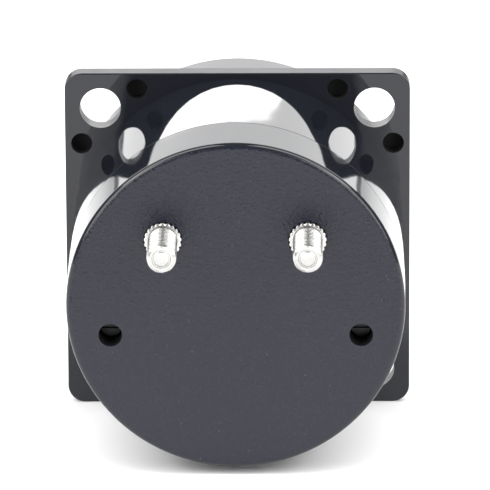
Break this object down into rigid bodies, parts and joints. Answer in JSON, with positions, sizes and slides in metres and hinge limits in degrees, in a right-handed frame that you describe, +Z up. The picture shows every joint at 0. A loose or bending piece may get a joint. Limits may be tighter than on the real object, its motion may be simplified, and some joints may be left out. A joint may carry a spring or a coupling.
{
  "type": "panel ammeter",
  "caption": "Round moving-coil panel ammeter in a black moulded case with a square mounting flange, seen from its grained rear cover with threaded terminal studs.",
  "frame": {"origin": "on the barrel's axis in the flange's front face, which bears on the back of the panel; centre of the flange's hole pattern", "axes": "+Y along the barrel's axis towards the dial, +Z up, +X to the right when looking at the rear face"},
  "size_m": [0.06, 0.0633, 0.06],
  "materials": {
    "gloss_black_moulding": "high-gloss black moulding",
    "grained_black_moulding": "fine leather grain on the rear face, smoother rim",
    "black_bezel": "semi-gloss black",
    "clear_window": "clear, polished",
    "black_rubber": "matt",
    "nickel_plate": "bright nickel plate",
    "plated_steel": "zinc-plated, satin",
    "dial_white": "matt white paint",
    "black_screws": "blackened",
    "pointer_black": "matt black paint",
    "yellow_brass": "satin brass",
    "manganin": "dull copper-nickel alloy",
    "copper": "tinned-edge copper strap",
    "enamelled_copper": "enamelled copper wire",
    "fibre": "red-brown fibre",
    "frame_aluminium": "plain aluminium",
    "soft_iron": "plated soft iron",
    "magnet": "cast magnet alloy, ground",
    "pivot_steel": "polished steel",
    "spring_bronze": "bronze strip",
    "adjuster_black": "black moulding"
  },
  "bodies": {
    "case": {"case_body": "gloss_black_moulding", "rear_cover": "grained_black_moulding", "bezel_ring": "black_bezel", "window": "clear_window", "window_gasket": "black_rubber", "positive_stud": "nickel_plate", "negative_stud": "nickel_plate", "stud_nuts": "plated_steel", "stud_lock_washers": "plated_steel", "frame_screws": "plated_steel", "yoke_screws": "plated_steel", "rear_bridge_screws": "plated_steel", "dial_plate": "dial_white", "cover_screws": "black_screws", "dial_screws": "black_screws", "pointer_stops": "black_screws", "shunt_blocks": "yellow_brass", "bridge_pillars": "yellow_brass", "front_bridge": "yellow_brass", "rear_bridge": "yellow_brass", "front_jewel_screw": "yellow_brass", "rear_jewel_screw": "yellow_brass", "core_screws": "yellow_brass", "front_bridge_screws": "yellow_brass", "shunt_strip": "manganin", "positive_lead": "copper", "negative_lead": "copper", "lead_insulators": "fibre", "frame_plate": "frame_aluminium", "yoke_ring": "soft_iron", "core_magnet": "magnet", "front_hairspring": "spring_bronze", "rear_hairspring": "spring_bronze"},
    "moving_coil": {"coil_former": "frame_aluminium", "coil_winding": "enamelled_copper", "front_pivot": "pivot_steel", "rear_pivot": "pivot_steel", "spring_collets": "yellow_brass", "pointer": "pointer_black", "pointer_counterweights": "yellow_brass"},
    "zero_adjuster": {"zero_adjuster": "adjuster_black", "adjuster_washer": "yellow_brass"},
    "zero_lever": {"zero_lever": "yellow_brass"}
  },
  "joints": [
    {"name": "pointer_swing", "type": "hinge", "parent": "case", "child": "moving_coil", "pos_m": [0, 0, -0.008], "axis": [0, -1, 0], "range_deg": [0, 90], "stiffness_Nm_per_rad": 0.00002, "deforming": ["front_hairspring", "rear_hairspring"]},
    {"name": "zero_adjuster_turn", "type": "hinge", "parent": "case", "child": "zero_adjuster", "pos_m": [0, 0, -0.02], "axis": [0, 1, 0], "range_deg": [-30, 30]},
    {"name": "zero_lever_turn", "type": "hinge", "parent": "case", "child": "zero_lever", "pos_m": [0, 0, -0.008], "axis": [0, 1, 0], "range_deg": [-3.5, 3.5]}
  ],
  "couplings": [
    {"joint": "zero_lever_turn", "follows": "zero_adjuster_turn", "ratio": -0.11111}
  ]
}
